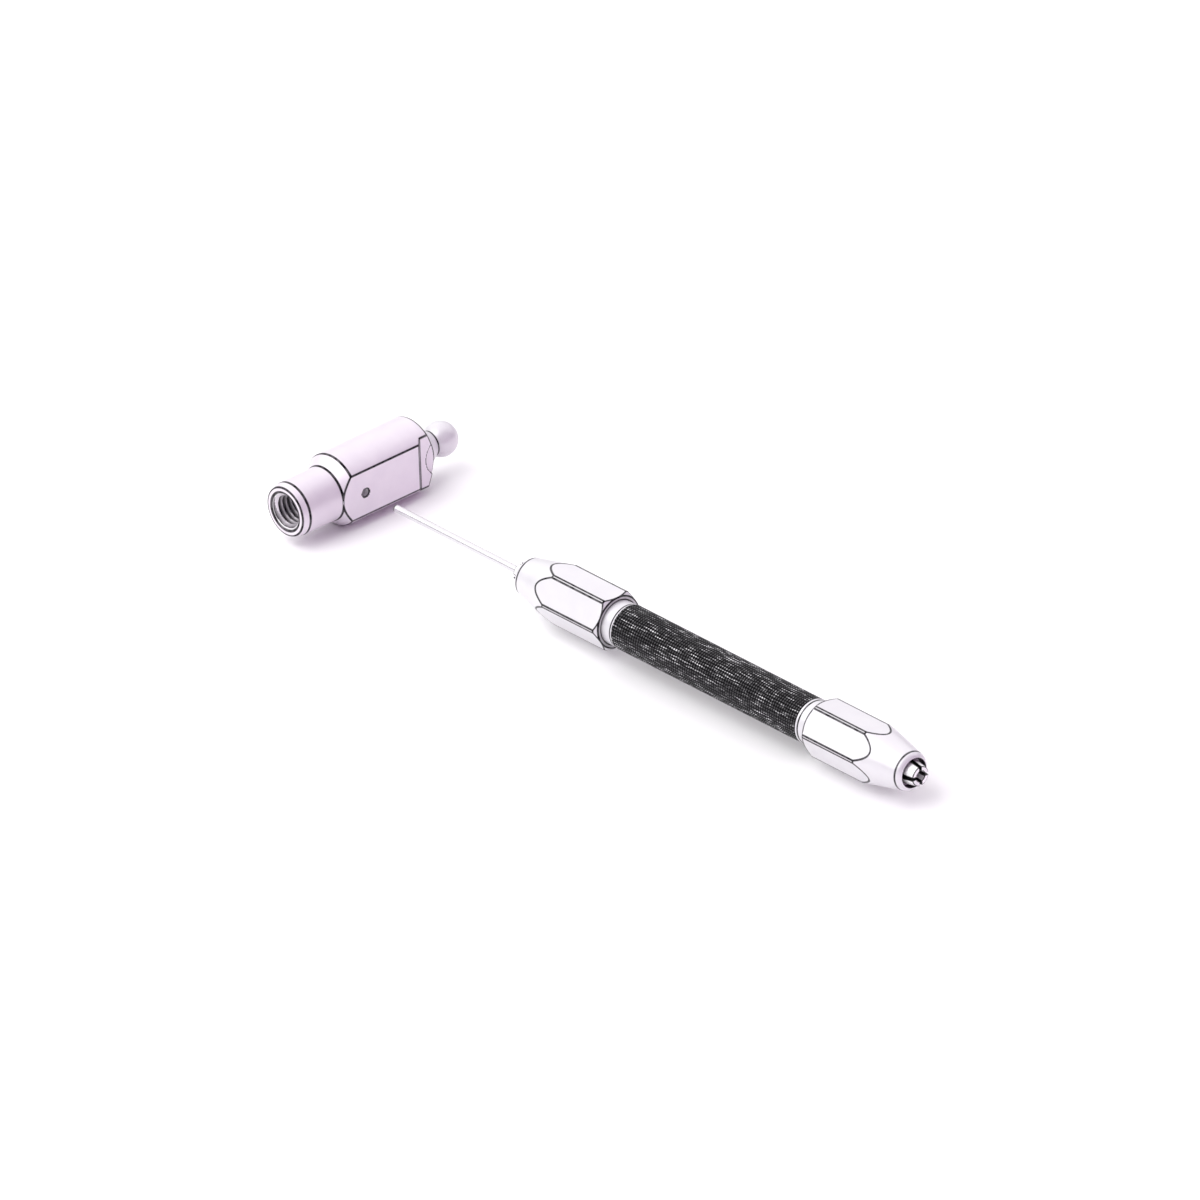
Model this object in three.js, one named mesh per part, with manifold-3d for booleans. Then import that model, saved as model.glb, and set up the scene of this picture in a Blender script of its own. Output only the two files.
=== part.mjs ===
// Tap wrench: a threaded head with a cross hole and a ball end, and a lever handle.
// The handle is a double-ended pin vise whose long round pin goes through the cross hole.
// Millimetres. +X runs along the handle, +Y along the head's axis and +Z is up.
// The origin is under the middle of the whole object, at the height of the head's lowest line.

import * as THREE from "three";
import { mergeVertices } from "three/addons/utils/BufferGeometryUtils.js";
import Module from "manifold-3d";

const wasm = await Module();
wasm.setup();

// ---- Driving dimensions -------------------------------------------------------------------

const SIDES = 48; // sides of a large turned piece
const SMALL_SIDES = 32; // sides of a slender turned piece
const GAP = 0.05; // clearance between pieces that fit into each other
const REACH = 30; // size of a cutting solid, well past anything that it cuts
const OVERCUT = 0.5; // how far a cutting solid starts before what it cuts

// Head, along its axis: 0 is the cross hole, negative towards the threaded spigot.
const FACE_AT = -17.2;
const FACE_RADIUS = 5.5;
const SPIGOT_RADIUS = 6;
const SPIGOT_LEAD_AT = -15.4; // where the spigot's lead chamfer ends
const SHOULDER_FROM = -6.2;
const SHOULDER_TO = -3.9;
const HEAD_RADIUS = 8;
const HEAD_END_CONE_FROM = 18.26;
const HEAD_END = 20.25;
const HEAD_END_RADIUS = 4.57;
const THREAD_RADIUS = 3.24; // the socket's thread at its crests
const COUNTERSINK_RADIUS = 4.25;
const SOCKET_BOTTOM = -6.5;
const DRILL_POINT = 1.95; // height of the cone that a drill leaves at the bottom
const FLAT_HALF = 6; // half the distance across the wrench flats
const DEEP_FLAT_HALF = 5.1;
const DEEP_FLAT_FROM = 15.1;
const SPOT_FACE_RADIUS = 4.6;
const SPOT_FACE_AT = 22.3;
const SPOT_FACE_DEPTH = 4.6; // its floor, from the head's axis
const STUD_HOLE_RADIUS = 2.05;
const STUD_HOLE_BOTTOM = 13;
const STUD_HOLE_POINT = 1; // height of the cone at its bottom

// Ball stud
const STUD_RADIUS = 2;
const NECK_RADIUS = 2.7;
const NECK_TO = 23.4;
const BALL_RADIUS = 3.86;
const BALL_AT = 26.17;
const BALL_STEPS = 12;

// Pin, and where the handle lies
const PIN_RADIUS = 0.8;
const PIN_TIP = 15.15; // the pin's free end, from the head's axis
const PIN_END = 85.9; // its other end, inside the barrel
const PIN_CHAMFER = 0.15;
const HANDLE_CENTRE = 115.9; // the middle of the barrel, from the head's axis

// Barrel, each half outwards from its middle
const KNURL_RADIUS = 5.04;
const KNURL_FULL_TO = 28.4;
const KNURL_END = 29.05;
const BARREL_NECK_RADIUS = 4.88;
const BARREL_NECK_TO = 32.7;
const BARREL_THREAD_RADIUS = 4.4;
const BARREL_END = 41;
const BARREL_BORE = 1.9;
const SEAT_RADIUS = 2.85; // the counterbore that a collet sits in
const SEAT_BOTTOM = 33;

// Nose nut
const NUT_BACK = 31.6;
const NUT_BACK_RADIUS = 5.83;
const NUT_ENTRY_TO = 33.5; // how far the wide entry over the barrel's neck goes in
const NUT_ENTRY_CLEARANCE = 0.08;
const NUT_THREAD_CLEARANCE = 0.06;
const HEX_ACROSS_FLATS = 11.8;
const HEX_CORNER_RADIUS = 6.64; // over the rounded corners
const HEX_TO = 48.1;
const NOSE_RING_AT = 58.6;
const NOSE_RING_RADIUS = 4.387;
const NOSE_ROUND = 1.83;
const NOSE_ROUND_STEPS = 6;
const MOUTH_RADIUS = 3.3;
const NUT_THREAD_TO = 42.4;
const CAVITY_RADIUS = 4.2;
const RING_SEAT_FROM = 54.5;
const RING_SEAT_TO = 57.9;
const RING_RADIUS = 3.9; // the closing ring inside the nut
const REAR_NUT_TURN = THREE.MathUtils.degToRad(-5.5);

// Collet and its jaws
const SLEEVE_FROM = SEAT_BOTTOM + 0.3;
const SLEEVE_RADIUS = 2.75;
const SLEEVE_FLANGE_RADIUS = 3.9;
const SLEEVE_FLANGE = 1;
const SLEEVE_END = 44;
const JAW_FROM = 44.3;
const JAW_NECK_RADIUS = 2.3;
const JAW_CONE_FROM = 54.5;
const JAW_CONE_RADIUS = 3.495;
const JAW_TIP = 61.9;
const JAW_TIP_RADIUS = 2.2;
const JAW_CONE_CLEARANCE = 0.08;
const JAW_TIP_CHAMFER = 0.2;
const SLOT = 0.75;
const JAWS = 4;
const FRONT_BORE = PIN_RADIUS + GAP;
const REAR_BORE = 1.2;

// ---- Solids -------------------------------------------------------------------------------

function solid(geometry) {
  geometry.deleteAttribute("normal");
  geometry.deleteAttribute("uv");
  const merged = mergeVertices(geometry);
  const vertProperties = merged.attributes.position.array;
  const triVerts = new Uint32Array(merged.index.array);
  return new wasm.Manifold(new wasm.Mesh({ numProp: 3, vertProperties, triVerts }));
}

function geometryOf(shape) {
  const { vertProperties, triVerts } = shape.getMesh();
  const geometry = new THREE.BufferGeometry();
  geometry.setAttribute("position", new THREE.BufferAttribute(vertProperties, 3));
  geometry.setIndex(new THREE.BufferAttribute(triVerts, 1));
  geometry.computeVertexNormals();
  return geometry;
}

// A piece turned about Y from points of radius and height, its outside running upwards.
function turned(points, sides = SIDES) {
  const profile = points.map(([radius, height]) => new THREE.Vector2(radius, height));
  return solid(new THREE.LatheGeometry(profile, sides));
}

// A ring turned about Y: the same, from points that run all round its section.
function turnedRing(points, sides = SIDES) {
  return turned([...points, points[0]], sides);
}

// Points on an arc about (radius, height), between two angles in degrees from the outward radius.
function arc(radius, height, size, from, to, steps) {
  const points = [];
  for (let step = 0; step <= steps; step += 1) {
    const angle = THREE.MathUtils.degToRad(from + ((to - from) * step) / steps);
    points.push([radius + size * Math.cos(angle), height + size * Math.sin(angle)]);
  }
  return points;
}

function named(name, shape, material) {
  const mesh = new THREE.Mesh(geometryOf(shape), material);
  mesh.name = name;
  return mesh;
}

// ---- Materials ----------------------------------------------------------------------------

const satinSteel = () =>
  new THREE.MeshStandardMaterial({ color: 0xe6e3ea, roughness: 0.38, metalness: 0.85 });
const polishedSteel = () =>
  new THREE.MeshStandardMaterial({ color: 0xf0eff2, roughness: 0.14, metalness: 0.95 });
const springSteel = () =>
  new THREE.MeshStandardMaterial({ color: 0xb9b8bf, roughness: 0.3, metalness: 0.9 });
const blackOxide = () =>
  new THREE.MeshStandardMaterial({ color: 0x1d1d20, roughness: 0.5, metalness: 0.7 });

// ---- Head ---------------------------------------------------------------------------------

function headTurning() {
  return turned([
    [0, SOCKET_BOTTOM + DRILL_POINT],
    [THREAD_RADIUS, SOCKET_BOTTOM],
    [THREAD_RADIUS, FACE_AT + COUNTERSINK_RADIUS - THREAD_RADIUS],
    [COUNTERSINK_RADIUS, FACE_AT],
    [FACE_RADIUS, FACE_AT],
    [SPIGOT_RADIUS, SPIGOT_LEAD_AT],
    [SPIGOT_RADIUS, SHOULDER_FROM],
    [HEAD_RADIUS, SHOULDER_TO],
    [HEAD_RADIUS, HEAD_END_CONE_FROM],
    [HEAD_END_RADIUS, HEAD_END],
    [STUD_HOLE_RADIUS, HEAD_END],
    [STUD_HOLE_RADIUS, STUD_HOLE_BOTTOM],
    [0, STUD_HOLE_BOTTOM - STUD_HOLE_POINT],
  ]);
}

// What is milled off one side: the wrench flat and the deeper flat, with a 45 degree step.
function flatCutter() {
  const deepFlatTo = DEEP_FLAT_FROM + FLAT_HALF - DEEP_FLAT_HALF;
  const outline = new THREE.Shape([
    new THREE.Vector2(FLAT_HALF, SHOULDER_FROM),
    new THREE.Vector2(REACH, SHOULDER_FROM),
    new THREE.Vector2(REACH, REACH),
    new THREE.Vector2(DEEP_FLAT_HALF, REACH),
    new THREE.Vector2(DEEP_FLAT_HALF, deepFlatTo),
    new THREE.Vector2(FLAT_HALF, DEEP_FLAT_FROM),
  ]);
  const geometry = new THREE.ExtrudeGeometry(outline, { depth: REACH, bevelEnabled: false });
  geometry.translate(0, 0, -REACH / 2);
  return solid(geometry);
}

// The shallow round seat milled from one side, near the ball.
function spotFaceCutter() {
  const geometry = new THREE.CylinderGeometry(SPOT_FACE_RADIUS, SPOT_FACE_RADIUS, REACH, SIDES);
  geometry.rotateZ(Math.PI / 2);
  geometry.translate(SPOT_FACE_DEPTH + REACH / 2, SPOT_FACE_AT, 0);
  return solid(geometry);
}

function crossHoleCutter() {
  const radius = PIN_RADIUS + GAP / 2;
  const geometry = new THREE.CylinderGeometry(radius, radius, REACH, SMALL_SIDES);
  geometry.rotateZ(Math.PI / 2);
  return solid(geometry);
}

function headBody() {
  const oneSide = flatCutter().add(spotFaceCutter());
  const otherSide = oneSide.rotate([0, 180, 0]);
  const shape = headTurning().subtract(oneSide).subtract(otherSide).subtract(crossHoleCutter());
  return named("head_body", shape, satinSteel());
}

function ballStud() {
  const ballFrom = THREE.MathUtils.radToDeg(Math.asin((NECK_TO - BALL_AT) / BALL_RADIUS));
  const ball = arc(0, BALL_AT, BALL_RADIUS, ballFrom, 90, BALL_STEPS);
  ball[BALL_STEPS][0] = 0;
  const shape = turned([
    [0, STUD_HOLE_BOTTOM + GAP],
    [STUD_RADIUS, STUD_HOLE_BOTTOM + GAP],
    [STUD_RADIUS, HEAD_END + GAP],
    [HEAD_END_RADIUS - GAP, HEAD_END + GAP],
    [NECK_RADIUS, NECK_TO],
    ...ball.slice(1),
  ], SMALL_SIDES);
  return named("ball_stud", shape, polishedSteel());
}

// ---- Handle, each end outwards along Y from the barrel's middle ------------------------------

function pin() {
  const length = PIN_END - PIN_TIP;
  const shape = turned([
    [0, 0],
    [PIN_RADIUS - PIN_CHAMFER, 0],
    [PIN_RADIUS, PIN_CHAMFER],
    [PIN_RADIUS, length - PIN_CHAMFER],
    [PIN_RADIUS - PIN_CHAMFER, length],
    [0, length],
  ], SMALL_SIDES);
  return named("pin", shape, polishedSteel());
}

function barrel() {
  const undercut = BARREL_NECK_RADIUS - BARREL_THREAD_RADIUS;
  const upperOutside = [
    [KNURL_RADIUS, KNURL_FULL_TO],
    [BARREL_NECK_RADIUS, KNURL_END],
    [BARREL_NECK_RADIUS, BARREL_NECK_TO],
    [BARREL_THREAD_RADIUS, BARREL_NECK_TO + undercut / 2],
    [BARREL_THREAD_RADIUS, BARREL_END - 2 * undercut],
    [BARREL_THREAD_RADIUS - undercut, BARREL_END],
  ];
  const upperInside = [
    [SEAT_RADIUS, BARREL_END],
    [SEAT_RADIUS, SEAT_BOTTOM],
    [BARREL_BORE, SEAT_BOTTOM],
  ];
  const mirrored = (points) => points.map(([radius, height]) => [radius, -height]).reverse();
  const shape = turnedRing([
    ...mirrored(upperOutside),
    ...upperOutside,
    ...upperInside,
    ...mirrored(upperInside),
  ]);
  return named("barrel", shape, blackOxide());
}

function noseNut(name) {
  const coneAngle = Math.atan((HEX_CORNER_RADIUS - NOSE_RING_RADIUS) / (NOSE_RING_AT - HEX_TO));
  const centreRadius = NOSE_RING_RADIUS - NOSE_ROUND * Math.cos(coneAngle);
  const centreHeight = NOSE_RING_AT - NOSE_ROUND * Math.sin(coneAngle);
  const from = THREE.MathUtils.radToDeg(coneAngle);
  const to = THREE.MathUtils.radToDeg(Math.acos((MOUTH_RADIUS - centreRadius) / NOSE_ROUND));
  const entryRadius = BARREL_NECK_RADIUS + NUT_ENTRY_CLEARANCE;
  const threadRadius = BARREL_THREAD_RADIUS + NUT_THREAD_CLEARANCE;
  const turning = turnedRing([
    [entryRadius, NUT_BACK],
    [NUT_BACK_RADIUS, NUT_BACK],
    [HEX_CORNER_RADIUS, NUT_BACK + HEX_CORNER_RADIUS - NUT_BACK_RADIUS],
    [HEX_CORNER_RADIUS, HEX_TO],
    ...arc(centreRadius, centreHeight, NOSE_ROUND, from, to, NOSE_ROUND_STEPS),
    [MOUTH_RADIUS, RING_SEAT_TO],
    [RING_RADIUS + GAP, RING_SEAT_TO],
    [RING_RADIUS + GAP, RING_SEAT_FROM],
    [CAVITY_RADIUS, RING_SEAT_FROM],
    [CAVITY_RADIUS, NUT_THREAD_TO],
    [threadRadius, NUT_THREAD_TO],
    [threadRadius, NUT_ENTRY_TO],
    [entryRadius, NUT_ENTRY_TO],
  ]);
  const corner = HEX_ACROSS_FLATS / Math.sqrt(3);
  const bar = new THREE.CylinderGeometry(corner, corner, REACH, 6, 1, false, Math.PI / 6);
  bar.translate(0, NUT_BACK + REACH / 2 - OVERCUT, 0);
  return named(name, turning.intersect(solid(bar)), satinSteel());
}

// The radius of the closed jaws' outer cone at a height along the handle.
function jawConeRadius(height) {
  const share = (height - JAW_CONE_FROM) / (JAW_TIP - JAW_CONE_FROM);
  return JAW_CONE_RADIUS + share * (JAW_TIP_RADIUS - JAW_CONE_RADIUS);
}

function closingRing(name) {
  const from = RING_SEAT_FROM + 2 * GAP;
  const to = RING_SEAT_TO - 2 * GAP;
  const shape = turnedRing([
    [jawConeRadius(from) + JAW_CONE_CLEARANCE, from],
    [RING_RADIUS, from],
    [RING_RADIUS, to],
    [jawConeRadius(to) + JAW_CONE_CLEARANCE, to],
  ]);
  return named(name, shape, springSteel());
}

function colletSleeve(name, bore) {
  const flangeFrom = BARREL_END + 2 * GAP;
  const shape = turnedRing([
    [bore, SLEEVE_FROM],
    [SLEEVE_RADIUS, SLEEVE_FROM],
    [SLEEVE_RADIUS, flangeFrom],
    [SLEEVE_FLANGE_RADIUS, flangeFrom],
    [SLEEVE_FLANGE_RADIUS, flangeFrom + SLEEVE_FLANGE],
    [JAW_NECK_RADIUS, flangeFrom + SLEEVE_FLANGE],
    [JAW_NECK_RADIUS, SLEEVE_END],
    [bore, SLEEVE_END],
  ], SMALL_SIDES);
  return named(name, shape, springSteel());
}

// The jaws as one slotted cone; each jaw is the quarter of it beyond the slots.
function colletJaws(name, bore) {
  const cone = turnedRing([
    [bore, JAW_FROM],
    [JAW_NECK_RADIUS, JAW_FROM],
    [JAW_NECK_RADIUS, JAW_CONE_FROM - (JAW_CONE_RADIUS - JAW_NECK_RADIUS)],
    [JAW_CONE_RADIUS, JAW_CONE_FROM],
    [jawConeRadius(JAW_TIP - JAW_TIP_CHAMFER), JAW_TIP - JAW_TIP_CHAMFER],
    [JAW_TIP_RADIUS - JAW_TIP_CHAMFER, JAW_TIP],
    [bore + JAW_TIP_CHAMFER, JAW_TIP],
    [bore, JAW_TIP - JAW_TIP_CHAMFER],
  ], SMALL_SIDES);
  const box = new THREE.BoxGeometry(REACH, REACH, REACH);
  box.translate((REACH + SLOT) / 2, JAW_FROM + REACH / 2 - OVERCUT, (REACH + SLOT) / 2);
  const quarter = geometryOf(cone.intersect(solid(box)));
  const jaws = [];
  for (let index = 0; index < JAWS; index += 1) {
    const jaw = new THREE.Mesh(quarter, springSteel());
    jaw.name = `${name}_${index + 1}`;
    jaw.rotation.y = (index * 2 * Math.PI) / JAWS;
    jaws.push(jaw);
  }
  return jaws;
}

// One end of the handle: its nut with the closing ring, and its collet.
function chuck(end, bore) {
  const group = new THREE.Group();
  group.add(
    noseNut(`${end}_nut`),
    closingRing(`${end}_closing_ring`),
    colletSleeve(`${end}_collet`, bore),
    ...colletJaws(`${end}_jaw`, bore),
  );
  return group;
}

function handle() {
  const group = new THREE.Group();
  const barrelMesh = barrel();
  barrelMesh.rotation.z = -Math.PI / 2;
  const front = chuck("front", FRONT_BORE);
  front.rotation.z = Math.PI / 2;
  const rear = chuck("rear", REAR_BORE);
  rear.rotation.z = -Math.PI / 2;
  rear.children[0].rotation.y = REAR_NUT_TURN;
  group.add(barrelMesh, front, rear);
  group.position.x = HANDLE_CENTRE;
  return group;
}

// ---- The whole object -----------------------------------------------------------------------

function tapWrench() {
  const group = new THREE.Group();
  const pinMesh = pin();
  pinMesh.rotation.z = -Math.PI / 2;
  pinMesh.position.x = PIN_TIP;
  group.add(headBody(), ballStud(), pinMesh, handle());
  const middleX = (HANDLE_CENTRE + JAW_TIP - FLAT_HALF) / 2;
  const middleY = (BALL_AT + BALL_RADIUS + FACE_AT) / 2;
  group.position.set(-middleX, -middleY, HEAD_RADIUS);
  const object = new THREE.Group();
  object.add(group);
  return object;
}

export default tapWrench();
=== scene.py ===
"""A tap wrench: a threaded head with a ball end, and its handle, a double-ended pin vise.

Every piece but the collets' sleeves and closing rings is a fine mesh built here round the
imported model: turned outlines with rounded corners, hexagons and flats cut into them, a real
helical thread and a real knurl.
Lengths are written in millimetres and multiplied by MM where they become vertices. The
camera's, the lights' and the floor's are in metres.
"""

import math

import bmesh
import bpy
import numpy as np
from mathutils import Matrix, Vector


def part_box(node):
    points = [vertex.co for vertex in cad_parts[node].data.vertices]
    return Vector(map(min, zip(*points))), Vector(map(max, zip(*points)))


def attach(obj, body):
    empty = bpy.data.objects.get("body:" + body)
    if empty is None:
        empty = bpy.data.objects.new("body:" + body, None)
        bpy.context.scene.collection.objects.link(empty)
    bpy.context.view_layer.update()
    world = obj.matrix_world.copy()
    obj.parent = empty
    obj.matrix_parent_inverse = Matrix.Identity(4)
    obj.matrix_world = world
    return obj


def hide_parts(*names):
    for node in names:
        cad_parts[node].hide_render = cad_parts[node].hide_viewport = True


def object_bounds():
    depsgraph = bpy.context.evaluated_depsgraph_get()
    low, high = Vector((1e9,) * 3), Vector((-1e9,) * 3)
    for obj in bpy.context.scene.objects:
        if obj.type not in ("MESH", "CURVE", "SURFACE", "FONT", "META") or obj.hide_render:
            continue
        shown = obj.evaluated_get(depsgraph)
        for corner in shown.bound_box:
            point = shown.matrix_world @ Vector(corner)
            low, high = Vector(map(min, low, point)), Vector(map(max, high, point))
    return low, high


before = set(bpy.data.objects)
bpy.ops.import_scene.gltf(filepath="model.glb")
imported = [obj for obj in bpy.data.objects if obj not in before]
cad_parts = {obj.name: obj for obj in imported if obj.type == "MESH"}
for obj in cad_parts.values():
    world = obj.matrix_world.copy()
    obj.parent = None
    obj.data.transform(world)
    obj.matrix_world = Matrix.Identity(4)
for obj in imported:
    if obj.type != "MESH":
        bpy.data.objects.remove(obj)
cad_low, cad_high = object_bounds()

MM = 0.001

# ---- Where things are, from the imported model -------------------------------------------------


def middle(node):
    low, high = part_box(node)
    return (np.array(low) + np.array(high)) / 2


PIN_AXIS = middle("pin")
CROSS_HOLE = np.array([middle("head_body")[0], PIN_AXIS[1], PIN_AXIS[2]])
BARREL_MIDDLE = middle("barrel")
FLOOR_HEIGHT = cad_low[2]

X = np.array([1.0, 0.0, 0.0])
Y = np.array([0.0, 1.0, 0.0])
Z = np.array([0.0, 0.0, 1.0])

# ---- Dimensions in millimetres, as in the CAD model ------------------------------------------

FACE_AT = -17.2
FACE_RADIUS = 5.5
SPIGOT_RADIUS = 6.0
SPIGOT_LEAD_AT = -15.4
SHOULDER_FROM = -6.2
SHOULDER_TO = -3.9
HEAD_RADIUS = 8.0
HEAD_END_CONE_FROM = 18.26
HEAD_END = 20.25
HEAD_END_RADIUS = 4.57
COUNTERSINK_RADIUS = 4.25
THREAD_CREST = 3.24
THREAD_ROOT = 3.95
THREAD_PITCH = 1.25
THREAD_TO = -7.4
SOCKET_BOTTOM = -6.5
DRILL_POINT = 1.95
FLAT_HALF = 6.0
DEEP_FLAT_HALF = 5.1
DEEP_FLAT_FROM = 15.1
SPOT_FACE_RADIUS = 4.6
SPOT_FACE_AT = 22.3
SPOT_FACE_DEPTH = 4.6
STUD_HOLE_RADIUS = 2.05
STUD_HOLE_BOTTOM = 13.0
SHANK_GAP = 0.05
CROSS_HOLE_RADIUS = 0.825

NECK_RADIUS = 2.7
NECK_TO = 23.4
BALL_RADIUS = 3.86
BALL_AT = 26.17

PIN_RADIUS = 0.8
PIN_CHAMFER = 0.15

KNURL_CREST = 5.04
KNURL_FULL_TO = 28.4
KNURL_END = 29.05
KNURL_DEPTH = 0.2
KNURL_RINGS = 82
KNURL_GROOVES = 48
BARREL_NECK_RADIUS = 4.88
BARREL_NECK_TO = 32.7
BARREL_THREAD_RADIUS = 4.4
THREAD_RUNOUT = 0.24
THREAD_LEAD_LENGTH = 0.5
THREAD_LEAD_DEPTH = 0.4
BARREL_END = 41.0
BARREL_BORE = 1.9
SEAT_RADIUS = 2.85
SEAT_BOTTOM = 33.0

NUT_BACK = 31.6
NUT_BACK_RADIUS = 5.83
NUT_ENTRY_TO = 33.5
HEX_APOTHEM = 5.9
HEX_CORNER_RADIUS = 6.64
HEX_TO = 48.1
NUT_CHAMFER = HEX_CORNER_RADIUS - NUT_BACK_RADIUS
NUT_NECK_GAP = 0.08
NUT_THREAD_GAP = 0.06
NUT_THREAD_TO = 42.4
NUT_BORE_RADIUS = 4.2
NOSE_RING_AT = 58.6
NOSE_RING_RADIUS = 4.387
NOSE_ROUND = 1.83
NOSE_SLOPE = (HEX_CORNER_RADIUS - NOSE_RING_RADIUS) / (NOSE_RING_AT - HEX_TO)
RING_POCKET_FROM = 54.5
RING_POCKET_TO = 57.9
RING_POCKET_RADIUS = 3.95
MOUTH_RADIUS = 3.3
REAR_NUT_TURN = math.radians(-5.5)

JAW_FROM = 44.3
JAW_NECK_RADIUS = 2.3
JAW_FLARE = 1.2
JAW_CONE_FROM = 54.5
JAW_CONE_RADIUS = 3.495
JAW_TIP = 61.9
JAW_TIP_RADIUS = 2.2
SLOT = 0.75
BORES = {"front": 0.85, "rear": 1.2}
OUTWARD = {"front": -X, "rear": X}

# ---- Camera ----------------------------------------------------------------------------------

AZIMUTH = math.radians(48.97)
ELEVATION = math.radians(29.2)
ROLL = math.radians(-2.2)
VIEW_WIDTH = 0.249
FRAMING_RIGHT = 0.0526
FRAMING_DOWN = 0.0243
CAMERA_DISTANCE = 2.5


def add_camera():
    back = np.array([
        math.sin(AZIMUTH) * math.cos(ELEVATION),
        -math.cos(AZIMUTH) * math.cos(ELEVATION),
        math.sin(ELEVATION),
    ])
    level = np.array([math.cos(AZIMUTH), math.sin(AZIMUTH), 0.0])
    upright = np.cross(back, level)
    right = math.cos(ROLL) * level + math.sin(ROLL) * upright
    up = np.cross(back, right)
    centre = CROSS_HOLE + FRAMING_RIGHT * right - FRAMING_DOWN * up
    data = bpy.data.cameras.new("camera")
    data.type = "ORTHO"
    data.ortho_scale = VIEW_WIDTH
    data.clip_start = 0.01
    data.clip_end = 10.0
    camera = bpy.data.objects.new("camera", data)
    turn = Matrix([right, up, back]).transposed()
    place = Vector(centre + CAMERA_DISTANCE * back)
    camera.matrix_world = Matrix.Translation(place) @ turn.to_4x4()
    bpy.context.collection.objects.link(camera)
    bpy.context.scene.camera = camera


# ---- Outlines --------------------------------------------------------------------------------


MOST_OF_A_SIDE = 0.4


def rounded(points, size, steps=4, least_turn=12.0):
    """The outline with its sharp corners rounded, and 1 for each point that lies on a rounding."""
    outline = [np.array(points[0], float)]
    on_corner = [0.0]
    for before, corner, after in zip(points, points[1:], points[2:]):
        corner = np.array(corner, float)
        back = np.array(before, float) - corner
        ahead = np.array(after, float) - corner
        back_length = np.linalg.norm(back)
        ahead_length = np.linalg.norm(ahead)
        cosine = -np.dot(back, ahead) / (back_length * ahead_length)
        if cosine > math.cos(math.radians(least_turn)):
            outline.append(corner)
            on_corner.append(0.0)
            continue
        cut = min(size, MOST_OF_A_SIDE * back_length, MOST_OF_A_SIDE * ahead_length)
        start = corner + back / back_length * cut
        end = corner + ahead / ahead_length * cut
        for share in np.linspace(0, 1, steps + 1):
            bend = (1 - share) ** 2 * start + 2 * share * (1 - share) * corner + share**2 * end
            outline.append(bend)
            on_corner.append(1.0)
    outline.append(np.array(points[-1], float))
    on_corner.append(0.0)
    return np.array(outline), np.array(on_corner)


def fine(outline, on_corner, step):
    """The outline with points added so that none of its stretches is longer than step."""
    points = [outline[0]]
    flags = [on_corner[0]]
    for index in range(1, len(outline)):
        length = np.linalg.norm(outline[index] - outline[index - 1])
        pieces = max(1, math.ceil(length / step))
        for piece in range(1, pieces):
            share = piece / pieces
            points.append(outline[index - 1] * (1 - share) + outline[index] * share)
            flags.append(0.0)
        points.append(outline[index])
        flags.append(on_corner[index])
    return np.array(points), np.array(flags)


def arc(radius, height, size, start, end, steps):
    angles = np.radians(np.linspace(start, end, steps + 1))
    return [(radius + size * math.cos(a), height + size * math.sin(a)) for a in angles]


# ---- Meshes ----------------------------------------------------------------------------------


SHARP_FROM = math.radians(32)
SAME_POINT = 2e-7
NO_LENGTH = 1e-7


def finish_mesh(name, mesh):
    """Merges double points, turns the faces outwards, and shades the piece smoothly."""
    work = bmesh.new()
    work.from_mesh(mesh)
    bmesh.ops.remove_doubles(work, verts=work.verts, dist=SAME_POINT)
    bmesh.ops.dissolve_degenerate(work, edges=work.edges, dist=NO_LENGTH)
    bmesh.ops.recalc_face_normals(work, faces=work.faces)
    work.to_mesh(mesh)
    work.free()
    mesh.shade_smooth()
    mesh.set_sharp_from_angle(angle=SHARP_FROM)
    mesh.validate()
    piece = bpy.data.objects.new(name, mesh)
    bpy.context.collection.objects.link(piece)
    return piece


def turned(name, radii, heights, angles, lines, place, row_slots=None):
    """A piece turned about an axis: a grid of radii and heights, one row for each height.

    lines is how much each point lies on an edge line, from 0 to 1; place is the axis: its
    origin, the direction along it and the direction of angle 0.
    """
    origin, along, side = place
    rows, count = radii.shape
    heights = np.broadcast_to(heights, radii.shape)
    cos = np.cos(angles)[None, :, None]
    sin = np.sin(angles)[None, :, None]
    points = origin + MM * (
        radii[..., None] * (cos * side + sin * Z) + heights[..., None] * along
    )
    index = np.arange(rows * count).reshape(rows, count)
    nearest = index[:-1, :]
    onward = index[1:, :]
    faces = np.stack(
        [nearest, np.roll(nearest, -1, 1), np.roll(onward, -1, 1), onward], axis=-1
    ).reshape(-1, 4)
    mesh = bpy.data.meshes.new(name)
    mesh.from_pydata(points.reshape(-1, 3).tolist(), [], faces.tolist())
    attribute = mesh.attributes.new("edge_line", "FLOAT", "POINT")
    attribute.data.foreach_set("value", np.broadcast_to(lines, radii.shape).reshape(-1))
    if row_slots is not None:
        mesh.polygons.foreach_set("material_index", np.repeat(row_slots[:-1], count))
    return finish_mesh(name, mesh)


def plain_turned(name, points, place, corner, step=0.5, sides=96):
    outline, flags = fine(*rounded(points, corner), step)
    angles = np.linspace(0, 2 * math.pi, sides, endpoint=False)
    radii = np.repeat(outline[:, :1], sides, axis=1)
    return turned(name, radii, outline[:, 1:], angles, flags[:, None], place)


# ---- Materials -------------------------------------------------------------------------------


COLOUR_A = 6
COLOUR_B = 7
COLOUR_RESULT = 2

CLOUD_SCALE = 260.0
GRAIN_SCALE = 1500.0
GRAIN_DETAIL = 4.0
GRAIN_SHARE = 0.22
GRAIN_DEPTH = 0.00002
LINE_WEAR_SCALE = 900.0
LINE_WEAR = 0.85
LINE_FAINT = 0.12
LINE_FULL = 0.55
SOFT_BUMP = 0.12

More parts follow.
